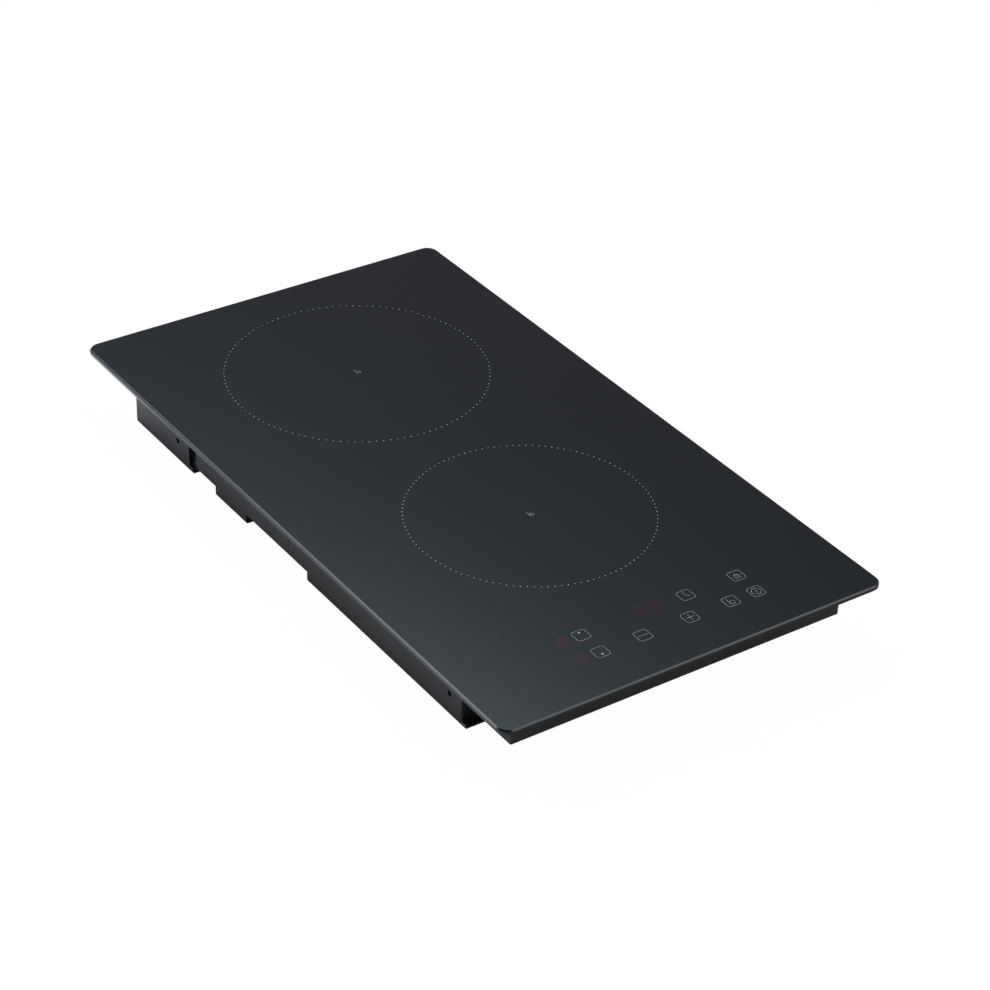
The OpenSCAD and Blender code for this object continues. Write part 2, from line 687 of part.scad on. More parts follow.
// Bell of the motor with the ring of blades round it
module blower_impeller() color([0.1, 0.1, 0.11]) translate(concat(blower, [0])) {
    tip = impeller_d / 2;
    difference() {
        translate([0, 0, 7]) cylinder(r = cup_r, h = rotor_top - 7, $fn = fine);
        translate([0, 0, 8]) cylinder(r = magnet_r[1], h = rotor_top, $fn = fine);
        translate([0, 0, 5]) cylinder(r = shaft_r, h = 5, $fn = fine);
    }
    translate([0, 0, rotor_top - 1.2]) difference() {
        cylinder(r = tip, h = 1.2, $fn = fine);
        translate([0, 0, -1]) cylinder(r = cup_r - 0.5, h = 4, $fn = fine);
    }
    translate([0, 0, 4]) difference() {
        cylinder(r = tip, h = 1, $fn = fine);
        translate([0, 0, -1]) cylinder(r = tip - 2.5, h = 4, $fn = fine);
    }
    for (i = [0 : blade_count - 1]) rotate([0, 0, 360 * i / blade_count])
        translate([tip - 8.5, 0, 4.5]) rotate([0, 0, 20]) cube([8.2, 1, rotor_top - 5]);
}

module blower_magnet() color([0.3, 0.3, 0.32])
    rod(concat(blower, [9]), magnet_r[1], rotor_top - 9.5, magnet_r[0]);
module blower_shaft() color([0.75, 0.75, 0.77]) rod(concat(blower, [7]), shaft_r, 11.5);

// ---------------------------------------------------------------- controls

module control_board() color([0.1, 0.3, 0.18]) span(control_x, control_y, [control_z, control_z + board_t]);

// Tray that carries the control board on the floor of the front part
module board_holder() color([0.85, 0.85, 0.83]) difference() {
    union() {
        span([control_x[0] - 2, control_x[1] + 2], [control_y[0] - 1.5, control_y[1] + 1.5],
            [control_z - 3, control_z + 3]);
        for (x = [control_x[0] + 8, 3, control_x[1] - 8], y = [control_y[0] + 6, control_y[1] - 6])
            rod([x, y, front_floor_z], 3, control_z - 3 - front_floor_z + 1);
    }
    span(control_x, control_y, [control_z, control_z + 4]);
    span([control_x[0] + 4, control_x[1] - 4], [control_y[0] + 12, control_y[1] - 12],
        [control_z - 4, control_z + 1]);
}

module touch_springs() color([0.78, 0.78, 0.76]) for (k = key_spots)
    spring([k[0], k[1], control_z + board_t], key_spring_d / 2 - 0.4,
        glass_z - control_z - board_t, 5, 0.4);

// Seven-segment modules: one digit for each zone and two for the timer
module digit_displays() color([0.2, 0.05, 0.05]) {
    face_z = glass_z - 0.6;
    for (y = key_row)
        span([digit_x - 5.5, digit_x + 5.5], [y - 8, y + 8], [control_z + board_t, face_z]);
    span([timer_x - 12, timer_x + 12], [key_row[0] - 8, key_row[0] + 8], [control_z + board_t, face_z]);
}

module buzzer() color([0.08, 0.08, 0.08]) rod([-24, key_row[0], control_z + board_t], 6, 7, 1);

// ---------------------------------------------------------------- wiring

// Litz tails from each coil's rim, down through the coil plate to the terminals
module coil_leads() color([0.8, 0.78, 0.7]) {
    top = winding_z + winding_t / 2;
    post = parts_z + 8;
    r = 1.6;
    for (x = lead_x) {
        rear_rim = rear_zone[1] - sqrt(pow(winding_r(rear_carrier_d), 2) - pow(abs(x) - r, 2));
        front_rim = front_zone[1] + sqrt(pow(winding_r(front_carrier_d), 2) - pow(abs(x) - r, 2));
        wire(smooth([[x, rear_rim - 0.02, top], [x, lead_y[0] + 4, top],
            [x, lead_y[0], top - 4], [x, lead_y[0], post]]), r);
        wire(smooth([[x, front_rim + 0.02, top], [x, lead_y[1] - 4, top],
            [x, lead_y[1], top - 4], [x, lead_y[1], post]]), r);
    }
}

// Low-voltage wires: both sensors, the fan and the controls
module signal_wires() color([0.75, 0.2, 0.15]) {
    run_z = plate_z - 1.2;
    plug_z = parts_z + 7;
    wire(smooth([[0, rear_zone[1], carrier_z + carrier_t], [0, rear_zone[1], run_z],
        [6, rear_zone[1] - 20, run_z], [54, 82, run_z], [54, 66, run_z], [54, 66, plug_z]]), 0.9);
    wire(smooth([[0, front_zone[1], carrier_z + carrier_t], [0, front_zone[1], run_z],
        [20, front_zone[1] - 8, run_z], [54, -92, run_z], [54, -60, run_z], [54, -60, plug_z]]), 0.9);
    wire(smooth([[-12, 110, scroll_top - 4], [-12, 96, scroll_top - 4], [-12, 88, scroll_top + 1],
        [-12, 88, plug_z]]), 0.9);
    wire(smooth([[30, -211, control_z], [30, -211, front_floor_z + 3], [30, -203, front_floor_z + 2.4],
        [30, -180, front_floor_z + 2.4], [54, -120, 22], [54, -102, 22], [54, -102, plug_z]]), 1.8);
}

// Mains wires: terminals to the filter board, filter board to the power board, and the earth
module mains_wires() color([0.25, 0.3, 0.6]) {
    for (x = [pole_x[0] + 1, pole_x[1] + 1])
        wire(smooth([[x, block_y[0] + 3, 6], [x, 193, 6], [x, 193, 11], [x, 186, 12],
            [x, 186, parts_z]]), 1.3);
    for (x = link_x)
        wire(smooth([[x, 104, parts_z], [x, 104, 18], [x, 86, 18], [x, 86, parts_z]]), 1.3);
    wire(smooth([[pole_x[3] + 1, block_y[0] + 3, 6], [pole_x[3] + 1, 193, 6], [108, 193, 8],
        [108, 186, 22], [108, 180, 22], [108, 180, plate_z - 2], [108, 180, plate_z]]), 1.3);
}

// ---------------------------------------------------------------- drawing

glass_top();
foam_seal();
silicone_bond();
left_glass_rail();
right_glass_rail();
case();
bottom_cover();
cover_screws();
side_screws();
inner_screws();
coil_plate();
rear_coil_carrier();
rear_coil_winding();
rear_ferrites();
rear_insulation();
rear_sensor();
rear_springs();
front_coil_carrier();
front_coil_winding();
front_ferrites();
front_insulation();
front_sensor();
front_springs();
power_board();
heatsink();
transistors();
bridge_rectifier();
resonant_capacitors();
smoothing_capacitors();
power_choke();
current_transformers();
supply_transformer();
electrolytic_capacitors();
coil_terminals();
board_connectors();
air_guide();
filter_board();
filter_choke();
filter_capacitors();
fuse();
fuse_clips();
terminal_block();
terminal_screws();
cable_clamp();
cable_gland();
blower_scroll();
blower_lid();
blower_bearing();
blower_stator();
blower_impeller();
blower_magnet();
blower_shaft();
control_board();
board_holder();
touch_springs();
digit_displays();
buzzer();
coil_leads();
signal_wires();
mains_wires();
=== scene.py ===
# Built-in induction hob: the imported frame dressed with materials, the prints on its glass,
# a pale floor, soft studio light and the camera.
import json
import math

import bpy
from mathutils import Matrix, Vector


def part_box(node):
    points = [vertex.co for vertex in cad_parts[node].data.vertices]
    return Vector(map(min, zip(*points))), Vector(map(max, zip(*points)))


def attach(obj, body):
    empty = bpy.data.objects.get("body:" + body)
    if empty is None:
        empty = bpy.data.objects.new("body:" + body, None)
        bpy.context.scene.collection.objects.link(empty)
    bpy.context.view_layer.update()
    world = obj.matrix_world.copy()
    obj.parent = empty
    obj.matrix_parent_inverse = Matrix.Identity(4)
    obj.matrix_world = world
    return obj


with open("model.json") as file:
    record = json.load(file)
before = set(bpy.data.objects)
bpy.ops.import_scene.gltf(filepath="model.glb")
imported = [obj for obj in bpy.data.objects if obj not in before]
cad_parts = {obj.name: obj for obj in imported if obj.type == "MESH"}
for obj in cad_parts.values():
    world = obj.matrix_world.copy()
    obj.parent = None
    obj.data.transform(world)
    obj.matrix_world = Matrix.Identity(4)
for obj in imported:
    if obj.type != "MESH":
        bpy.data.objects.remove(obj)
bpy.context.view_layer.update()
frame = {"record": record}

scene = bpy.context.scene
scene.view_settings.view_transform = "Standard"
MM = 0.001
BODY = "hob"
WHITE, BLACK = (1.0, 1.0, 1.0), (0.0, 0.0, 0.0)

# ---------------------------------------------------------------- camera

AIM = Vector((-7.294, -48.917, 48.309)) * MM
AZIMUTH, ELEVATION, ROLL = (math.radians(a) for a in (-35.419, 33.193, 2.061))
DISTANCE = 1.8584
LENS, SENSOR = 103.75, 36.0
CLIP = (0.05, 60.0)

back = Vector((math.sin(AZIMUTH) * math.cos(ELEVATION),
               -math.cos(AZIMUTH) * math.cos(ELEVATION), math.sin(ELEVATION)))
level = Vector((0, 0, 1)).cross(back).normalized()
above = back.cross(level)
right = math.cos(ROLL) * level + math.sin(ROLL) * above
up = back.cross(right)
cam_data = bpy.data.cameras.new("camera")
cam_data.lens = LENS
cam_data.sensor_width = SENSOR
cam_data.clip_start, cam_data.clip_end = CLIP
camera = bpy.data.objects.new("camera", cam_data)
scene.collection.objects.link(camera)
turn = Matrix((right, up, back)).transposed().to_4x4()
camera.matrix_world = Matrix.Translation(AIM + back * DISTANCE) @ turn
scene.camera = camera


# ---------------------------------------------------------------- node helpers

class Nodes:
    """Short calls for building one node tree."""

    def __init__(self, tree):
        self.tree = tree
        tree.nodes.clear()

    def add(self, kind, inputs=None, **settings):
        n = self.tree.nodes.new(kind)
        for k, v in settings.items():
            setattr(n, k, v)
        for k, v in (inputs or {}).items():
            self.put(n.inputs[k], v)
        return n

    def put(self, socket, value):
        if isinstance(value, bpy.types.NodeSocket):
            self.tree.links.new(value, socket)
        elif isinstance(value, (tuple, list)) and len(value) == 3 and socket.type == "RGBA":
            socket.default_value = (*value, 1.0)
        else:
            socket.default_value = value

    def math(self, op, a, b=0.0):
        n = self.add("ShaderNodeMath", operation=op)
        self.put(n.inputs[0], a)
        self.put(n.inputs[1], b)
        return n.outputs[0]

    def ramp(self, value, lo, hi, out_lo=0.0, out_hi=1.0, smooth=False):
        n = self.add("ShaderNodeMapRange", {"Value": value, "From Min": lo, "From Max": hi,
                                            "To Min": out_lo, "To Max": out_hi})
        n.interpolation_type = "SMOOTHSTEP" if smooth else "LINEAR"
        return n.outputs[0]

    def dot(self, a, b):
        return self.add("ShaderNodeVectorMath", {0: a, 1: b}, operation="DOT_PRODUCT").outputs["Value"]

    def scaled(self, vector, k):
        return self.add("ShaderNodeVectorMath", {0: vector, "Scale": k}, operation="SCALE").outputs[0]

    def blend(self, fac, a, b):
        """Mix of two numbers."""
        return self.add("ShaderNodeMix", {0: fac, 2: a, 3: b}).outputs[0]

    def mix(self, fac, a, b):
        """Mix of two colours."""
        n = self.add("ShaderNodeMix", data_type="RGBA")
        self.put(n.inputs[0], fac)
        self.put(n.inputs[6], a)
        self.put(n.inputs[7], b)
        return n.outputs[2]

    def noise(self, coords, scale, detail=4.0, rough=0.5):
        return self.add("ShaderNodeTexNoise", {"Vector": coords, "Scale": scale, "Detail": detail,
                                               "Roughness": rough}).outputs["Fac"]

    def drift(self, coords, scale, detail, lo=0.0, hi=1.0):
        """Noise whose usual range runs from lo to hi."""
        return self.ramp(self.noise(coords, scale, detail), 0.3, 0.7, lo, hi)

    def coords(self, stretch=(1.0, 1.0, 1.0)):
        c = self.add("ShaderNodeTexCoord").outputs["Object"]
        return self.add("ShaderNodeMapping", {"Vector": c, "Scale": stretch}).outputs[0]

    def bump(self, height, distance, strength=1.0, normal=None):
        n = self.add("ShaderNodeBump", {"Height": height, "Distance": distance, "Strength": strength})
        if normal is not None:
            self.put(n.inputs["Normal"], normal)
        return n.outputs[0]


def shader(name, **sockets):
    """A material with one Principled shader. Returns the material, its node builder and the shader."""
    m = bpy.data.materials.new(name)
    m.use_nodes = True
    g = Nodes(m.node_tree)
    p = g.add("ShaderNodeBsdfPrincipled", sockets)
    out = g.add("ShaderNodeOutputMaterial")
    g.put(out.inputs["Surface"], p.outputs[0])
    return m, g, p


def tint(rgb, k):
    return tuple(max(0.0, min(1.0, c * k)) for c in rgb)


def toned(g, p, rgb, spread, tone):
    """Base colour that drifts with tone by a share of spread to both sides of rgb."""
    g.put(p.inputs["Base Color"], g.mix(tone, tint(rgb, 1 - spread), tint(rgb, 1 + spread)))


def moulded(name, rgb, rough=0.5, grain=1400.0, depth=0.00002, spread=0.12, spec=0.5, soft_edge=0.0):
    """Moulded or cast surface: fine grain, slow drift of tone, uneven sheen. Grain is per metre,
    its depth and the radius of the soft edge are in metres, spread is the drift of the tone."""
    m, g, p = shader(name)
    c = g.coords()
    fine = g.noise(c, grain, 3.0, 0.6)
    toned(g, p, rgb, spread, g.drift(c, 18.0, 3.0))
    g.put(p.inputs["Roughness"], g.drift(c, 240.0, 2.0, rough - 0.05, rough + 0.05))
    p.inputs["Specular IOR Level"].default_value = spec
    normal = None
    if soft_edge:
        normal = g.add("ShaderNodeBevel", {"Radius": soft_edge}, samples=4).outputs[0]
    g.put(p.inputs["Normal"], g.bump(fine, depth, 1.0, normal))
    return m


def metal(name, rgb, rough=0.3, stretch=(1.0, 40.0, 40.0), depth=0.000006, spread=0.08):
    """Bare metal with fine drawn or rolled lines along the first axis."""
    m, g, p = shader(name, Metallic=1.0)
    lines = g.noise(g.coords(stretch), 60.0, 3.0, 0.6)
    toned(g, p, rgb, spread, g.drift(g.coords(), 30.0, 2.0))
    g.put(p.inputs["Roughness"], g.ramp(lines, 0.25, 0.75, rough - 0.07, rough + 0.09))
    g.put(p.inputs["Normal"], g.bump(lines, depth))
    return m


def wound(name, rgb, scale, centre=(0.0, 0.0, 0.0), rings=True, metallic=0.6, rough=0.35):
    """Enamelled or braided wire: fine parallel strands round a centre or along a run."""
    m, g, p = shader(name, Metallic=metallic)
    c = g.add("ShaderNodeTexCoord").outputs["Object"]
    c = g.add("ShaderNodeMapping", {"Vector": c, "Location": tuple(-v for v in centre)}).outputs[0]
    w = g.add("ShaderNodeTexWave", {"Vector": c, "Scale": scale, "Distortion": 1.5, "Detail": 2.0,
                                    "Detail Scale": 3.0})
    w.wave_type = "RINGS" if rings else "BANDS"
    if rings:
        w.rings_direction = "Z"
    else:
        w.bands_direction = "DIAGONAL"
    strand = w.outputs["Fac"]
    g.put(p.inputs["Base Color"], g.mix(strand, tint(rgb, 0.55), tint(rgb, 1.15)))
    g.put(p.inputs["Roughness"], g.ramp(strand, 0.0, 1.0, rough + 0.12, rough))
    g.put(p.inputs["Normal"], g.bump(strand, 0.0001))
    return m


def felt(name, rgb):
    """Short fibres in every direction, dull."""
    m, g, p = shader(name)
    c = g.coords()
    a = g.noise(g.coords((1.0, 9.0, 1.0)), 300.0, 4.0, 0.7)
    b = g.noise(g.coords((9.0, 1.0, 1.0)), 300.0, 4.0, 0.7)
    fibre = g.math("MAXIMUM", a, b)
    g.put(p.inputs["Base Color"], g.mix(g.ramp(fibre, 0.4, 0.8), tint(rgb, 0.78), rgb))
    g.put(p.inputs["Roughness"], g.drift(c, 60.0, 4.0, 0.85, 0.98))
    g.put(p.inputs["Normal"], g.bump(fibre, 0.0003))
    return m


def laminate(name, rgb, track):
    """Printed board: solder mask over a net of copper tracks, with glass cloth showing."""
    m, g, p = shader(name)
    c = g.coords()
    cells = g.add("ShaderNodeTexVoronoi", {"Vector": c, "Scale": 120.0}, feature="DISTANCE_TO_EDGE",
                  distance="MANHATTAN")
    net = g.ramp(cells.outputs["Distance"], 0.05, 0.07)
    cloth = g.add("ShaderNodeTexChecker", {"Vector": c, "Scale": 1800.0}).outputs["Fac"]
    g.put(p.inputs["Base Color"], g.mix(net, track, rgb))
    g.put(p.inputs["Roughness"], g.ramp(cloth, 0.0, 1.0, 0.28, 0.36))
    g.put(p.inputs["Normal"], g.bump(net, 0.00004, 0.6))
    return m


# ---------------------------------------------------------------- glass plate

GLASS_SHEEN = (0.83, 0.945, 1.0)
GLASS_IOR = 1.5
POLISH = (7.0, 0.045, 0.075)  # patches per metre, roughness from and to
FACE, UNDERSIDE = (0.0020, 0.0022, 0.0026), (0.010, 0.010, 0.011)
RIM, ARRIS = (0.0060, 0.0063, 0.0068), (0.020, 0.022, 0.024)
BEVEL = ((0.007, 0.0075, 0.008), (0.013, 0.0135, 0.014))
# How far up or down a normal has to point on a flat face and on a ground edge
FLAT, SLANT = (0.96, 0.99), (0.2, 0.4)


def polished(g, c):
    patches, smooth, dull = POLISH
    return g.drift(c, patches, 3.0, smooth, dull)


def black_glass():
    """Polished upper face, ground bevel and arris, half-polished rim, printed underside."""
    m, g, p = shader("black_glass")
    c = g.coords()
    face = g.add("ShaderNodeNewGeometry").outputs["True Normal"]
    z = g.add("ShaderNodeSeparateXYZ", {"Vector": face}).outputs["Z"]

    def faces(way):
        """The flat face and the ground edge that look up (1) or down (-1)."""
        flat = g.ramp(z, way * FLAT[0], way * FLAT[1])
        slant = g.ramp(z, way * SLANT[0], way * SLANT[1])
        return flat, g.math("MULTIPLY", slant, g.math("SUBTRACT", 1.0, flat))

    top, bevel = faces(1)
    under, arris = faces(-1)
    grind = g.noise(c, 2600.0, 3.0, 0.7)
    colour = g.mix(bevel, RIM, g.mix(grind, *BEVEL))
    colour = g.mix(arris, colour, ARRIS)
    colour = g.mix(top, colour, FACE)
    colour = g.mix(under, colour, UNDERSIDE)
    edges = g.math("MAXIMUM", bevel, arris)
    rough = g.ramp(edges, 0.0, 1.0, 0.20, 0.14)
    rough = g.blend(top, rough, polished(g, c))
    rough = g.blend(under, rough, 0.42)
    g.put(p.inputs["Base Color"], colour)
    g.put(p.inputs["Roughness"], rough)
    p.inputs["IOR"].default_value = GLASS_IOR
    g.put(p.inputs["Specular Tint"], g.mix(top, WHITE, GLASS_SHEEN))
    ripple = g.noise(c, 9.0, 2.0)
    height = g.blend(edges, ripple, grind)
    scale = g.ramp(edges, 0.0, 1.0, 0.02, 0.25)
    soft = g.add("ShaderNodeBevel", {"Radius": 0.0004}, samples=6).outputs[0]
    g.put(p.inputs["Normal"], g.bump(height, 0.00003, scale, soft))
    return m


# moulded(name, colour, roughness, grain, depth, spread, specular level, soft edge)
# metal(name, colour, roughness, stretch of the drawn lines)
CASE = (0.0075, 0.0079, 0.0092)
FINISH = {
    "black_glass": black_glass(),
    "black_case": moulded("black_case", CASE, 0.42, 1500.0, 0.000025, 0.14, 0.66, 0.0005),
    "black_cover": moulded("black_cover", tint(CASE, 0.95), 0.44, 1500.0, 0.000025, 0.14, 0.66, 0.0005),
    "foam": moulded("foam", (0.010, 0.010, 0.011), 0.88, 900.0, 0.00012, 0.25, 0.25),
    "silicone": moulded("silicone", (0.030, 0.030, 0.032), 0.35, 120.0, 0.00010),
    "zinc_steel": metal("zinc_steel", (0.56, 0.57, 0.58), 0.34, (1.0, 12.0, 12.0)),
    "black_screw": moulded("black_screw", (0.028, 0.028, 0.030), 0.34, 2200.0, 0.00001, 0.1, 0.6, 0.0003),
    "sheet_aluminium": metal("sheet_aluminium", (0.75, 0.76, 0.78), 0.36, (50.0, 1.0, 50.0)),
    "extruded_aluminium": metal("extruded_aluminium", (0.70, 0.71, 0.73), 0.40, (60.0, 1.0, 60.0)),
    "carrier_plastic": moulded("carrier_plastic", (0.70, 0.68, 0.60), 0.55, 900.0, 0.00003),
    "ferrite": moulded("ferrite", (0.040, 0.040, 0.045), 0.62, 700.0, 0.00006, 0.2),
    "fibre_felt": felt("fibre_felt", (0.78, 0.76, 0.70)),
    "sensor_white": moulded("sensor_white", (0.85, 0.85, 0.86), 0.4, 1200.0, 0.00001, 0.03),
    "spring_steel": metal("spring_steel", (0.50, 0.50, 0.51), 0.22, (30.0, 30.0, 3.0)),
    "circuit_board": laminate("circuit_board", (0.018, 0.150, 0.065), (0.05, 0.24, 0.09)),
    "package_black": moulded("package_black", (0.020, 0.020, 0.022), 0.5, 1800.0, 0.00002, 0.1),
    "film_yellow": moulded("film_yellow", (0.72, 0.50, 0.06), 0.3, 150.0, 0.00005, 0.06),
    "box_white": moulded("box_white", (0.72, 0.72, 0.66), 0.28, 600.0, 0.00001, 0.04),
    "box_blue": moulded("box_blue", (0.06, 0.12, 0.35), 0.28, 600.0, 0.00001, 0.06),
    "transformer_tape": wound("transformer_tape", (0.68, 0.58, 0.14), 60.0, rings=False, metallic=0.0,
                              rough=0.3),
    "sleeve_dark": moulded("sleeve_dark", (0.015, 0.020, 0.050), 0.22, 200.0, 0.00002),
    "connector_white": moulded("connector_white", (0.84, 0.84, 0.80), 0.45, 900.0, 0.00002, 0.04),
    "tinned_brass": metal("tinned_brass", (0.70, 0.60, 0.38), 0.28, (8.0, 8.0, 1.0)),
    "fuse_ceramic": moulded("fuse_ceramic", (0.80, 0.80, 0.76), 0.15, 400.0, 0.00001, 0.03, 0.6),
    "fan_plastic": moulded("fan_plastic", (0.030, 0.030, 0.034), 0.38, 1100.0, 0.00001, 0.08),
    "bronze": metal("bronze", (0.55, 0.38, 0.18), 0.42, (3.0, 3.0, 3.0)),
    "polished_shaft": metal("polished_shaft", (0.62, 0.62, 0.64), 0.12, (4.0, 4.0, 50.0)),
    "holder_grey": moulded("holder_grey", (0.66, 0.66, 0.63), 0.5, 900.0, 0.00003, 0.05),
    "display_red": moulded("display_red", (0.10, 0.012, 0.012), 0.2, 300.0, 0.00001),
    "rubber_black": moulded("rubber_black", (0.012, 0.012, 0.012), 0.7, 800.0, 0.00004, 0.15, 0.35),
    "litz_sleeve": wound("litz_sleeve", (0.70, 0.66, 0.54), 160.0, rings=False, metallic=0.0, rough=0.7),
    "wire_red": moulded("wire_red", (0.45, 0.04, 0.03), 0.32, 500.0, 0.00001, 0.05),
    "wire_blue": moulded("wire_blue", (0.05, 0.10, 0.40), 0.32, 500.0, 0.00001, 0.05),
    "choke_copper": wound("choke_copper", (0.55, 0.25, 0.10), 260.0, rings=False),
}

record = frame["record"]
slots = {s["node"]: s["material_slot"] for s in record["subparts"]}


def centre_of(node):
    lo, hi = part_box(node)
    return tuple((a + b) / 2 for a, b in zip(lo, hi))


for node, slot in slots.items():
    o = bpy.data.objects[node]
    if slot == "litz_copper":
        finish = wound("litz_" + node, (0.60, 0.26, 0.12), 220.0, centre_of(node))
    else:
        finish = FINISH[slot]
    o.data.materials.clear()
    o.data.materials.append(finish)

# ---------------------------------------------------------------- prints on the glass

GLASS_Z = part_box("glass_top")[1][2]
INK_T = 0.03 * MM
# Gap between the segments of a digit; how far its point lies to the right and up, and its radius
GAP, POINT = 0.25, (0.9, 0.6, 0.7)


def round_loop(w, h, r, inset=0.0):
    """Outline of a round-cornered rectangle about the origin, drawn in by inset."""
    pts = []
    for cx, cy, a0 in ((1, 1, 0), (-1, 1, 90), (-1, -1, 180), (1, -1, 270)):
        for i in range(7):
            a = math.radians(a0 + 15 * i)
            pts.append((cx * (w / 2 - r) + (r - inset) * math.cos(a),
                        cy * (h / 2 - r) + (r - inset) * math.sin(a)))
    return pts


class Print:
    """Flat shapes of ink on the glass, gathered into one piece. Sizes in millimetres."""

    def __init__(self, name, material, lift=0.0):
        self.name, self.material, self.lift = name, material, lift
        self.verts, self.faces = [], []

    def area(self, pts):
        n = len(pts)
        k = len(self.verts)
        low = GLASS_Z + self.lift * MM
        self.verts += [(x * MM, y * MM, low) for x, y in pts]
        self.verts += [(x * MM, y * MM, low + INK_T) for x, y in pts]
        self.faces.append([k + n + i for i in range(n)])
        self.faces += [[k + i, k + (i + 1) % n, k + n + (i + 1) % n, k + n + i] for i in range(n)]

    def ribbon(self, inner, outer, closed):
        n = len(inner)
        for i in range(n if closed else n - 1):
            j = (i + 1) % n
            self.area([inner[i], outer[i], outer[j], inner[j]])

    def disc(self, x, y, r, n=12):
        steps = [math.tau * i / n for i in range(n)]
        self.area([(x + r * math.cos(a), y + r * math.sin(a)) for a in steps])

    def arc(self, x, y, r, w, a0=0.0, a1=360.0, n=28):
        closed = a1 - a0 >= 360
        steps = [math.radians(a0 + (a1 - a0) * i / n) for i in range(n if closed else n + 1)]
        self.ribbon([(x + (r - w / 2) * math.cos(a), y + (r - w / 2) * math.sin(a)) for a in steps],
                    [(x + (r + w / 2) * math.cos(a), y + (r + w / 2) * math.sin(a)) for a in steps], closed)

    def bar(self, x0, y0, x1, y1, w):
        d = Vector((x1 - x0, y1 - y0)).normalized()
        s = Vector((-d.y, d.x)) * w / 2
        self.area([(x0 - s.x, y0 - s.y), (x1 - s.x, y1 - s.y),
                   (x1 + s.x, y1 + s.y), (x0 + s.x, y0 + s.y)])

    def rounded(self, x, y, w, h, r, line):
        inner, outer = ([(x + dx, y + dy) for dx, dy in round_loop(w, h, r, inset)]
                        for inset in (line, 0.0))
        self.ribbon(inner, outer, True)

    def letter_b(self, x, y, w, h, line):
        """A stem with a round bowl at its foot."""
        r = (w - line / 2) / 2
        self.bar(x - w / 2 + line / 2, y - h / 2, x - w / 2 + line / 2, y + h / 2, line)
        self.arc(x + w / 2 - r, y - h / 2 + r, r - line / 2, line)

    def pad(self, x, y, w, h, r, lean):
        """A filled round-cornered patch, leaning to the right."""
        self.area([(x + dx + lean * dy, y + dy) for dx, dy in round_loop(w, h, r)])

    def digit(self, x, y, w, h, line, lean):
        """All seven segments of one leaning digit with gaps between them, and its point."""
        def segment(x0, y0, x1, y1):
            x0, x1 = x0 + lean * (y0 - y), x1 + lean * (y1 - y)
            d = Vector((x1 - x0, y1 - y0)).normalized()
            s = Vector((-d.y, d.x)) * line / 2
            a, b = Vector((x0, y0)) + d * GAP, Vector((x1, y1)) - d * GAP
            k = d * line / 2
            self.area([tuple(v) for v in (a, a + k - s, b - k - s, b, b - k + s, a + k + s)])
        l, r = x - w / 2 + line / 2, x + w / 2 - line / 2
        t, b = y + h / 2 - line / 2, y - h / 2 + line / 2
        for yy in (b, y, t):
            segment(l, yy, r, yy)
        for xx in (l, r):
            segment(xx, b, xx, y)
            segment(xx, y, xx, t)
        across, up, radius = POINT
        self.disc(x + w / 2 + across, y - h / 2 + up, radius)

    def build(self):
        mesh = bpy.data.meshes.new(self.name)
        mesh.from_pydata(self.verts, [], self.faces)
        mesh.update()
        o = bpy.data.objects.new(self.name, mesh)
        scene.collection.objects.link(o)
        mesh.materials.append(self.material)
        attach(o, BODY)


def ink(name, rgb, rough=0.5):
    m, g, p = shader(name)
    c = g.coords()
    g.put(p.inputs["Base Color"], g.mix(g.noise(c, 3500.0, 2.0), tint(rgb, 0.88), rgb))
    g.put(p.inputs["Roughness"], g.drift(c, 900.0, 2.0, rough - 0.06, rough + 0.06))
    g.put(p.inputs["Normal"], g.bump(g.noise(c, 2500.0, 2.0), 0.00001))
    return m


def behind_glass(name, dim, bright):
    """A display seen faintly and unevenly through the polished black glass."""
    m, g, p = shader(name)
    c = g.coords()
    g.put(p.inputs["Base Color"], g.mix(g.ramp(g.noise(c, 420.0, 3.0), 0.38, 0.62), dim, bright))
    g.put(p.inputs["Roughness"], polished(g, c))
    p.inputs["IOR"].default_value = GLASS_IOR
    g.put(p.inputs["Specular Tint"], GLASS_SHEEN)
    return m


ring_ink = ink("ring_ink", (0.55, 0.577, 0.603))
key_ink = ink("key_ink", (0.175, 0.184, 0.193))
segment_ink = behind_glass("segment_ink", (0.018, 0.0008, 0.0022), (0.033, 0.0006, 0.0032))
halo_ink = behind_glass("halo_ink", (0.006, 0.0008, 0.0026), (0.017, 0.0005, 0.0038))

REAR, FRONT = (0.0, 131.8), (0.0, -78.4)
DOTS, DOT_R = 120, 0.30
LETTER = (3.3, 5.5)
for name, (x, y), dia, pen in (("rear", REAR, 185.0, 0.34), ("front", FRONT, 165.0, 0.44)):
    ring = Print(name + "_zone_ring", ring_ink)
    for i in range(DOTS):
        a = math.tau * i / DOTS
        ring.disc(x + dia / 2 * math.cos(a), y + dia / 2 * math.sin(a), DOT_R, 10)
    ring.build()
    centre = Print(name + "_zone_letter", key_ink)
    centre.letter_b(x + 0.15, y, *LETTER, pen)
    centre.build()

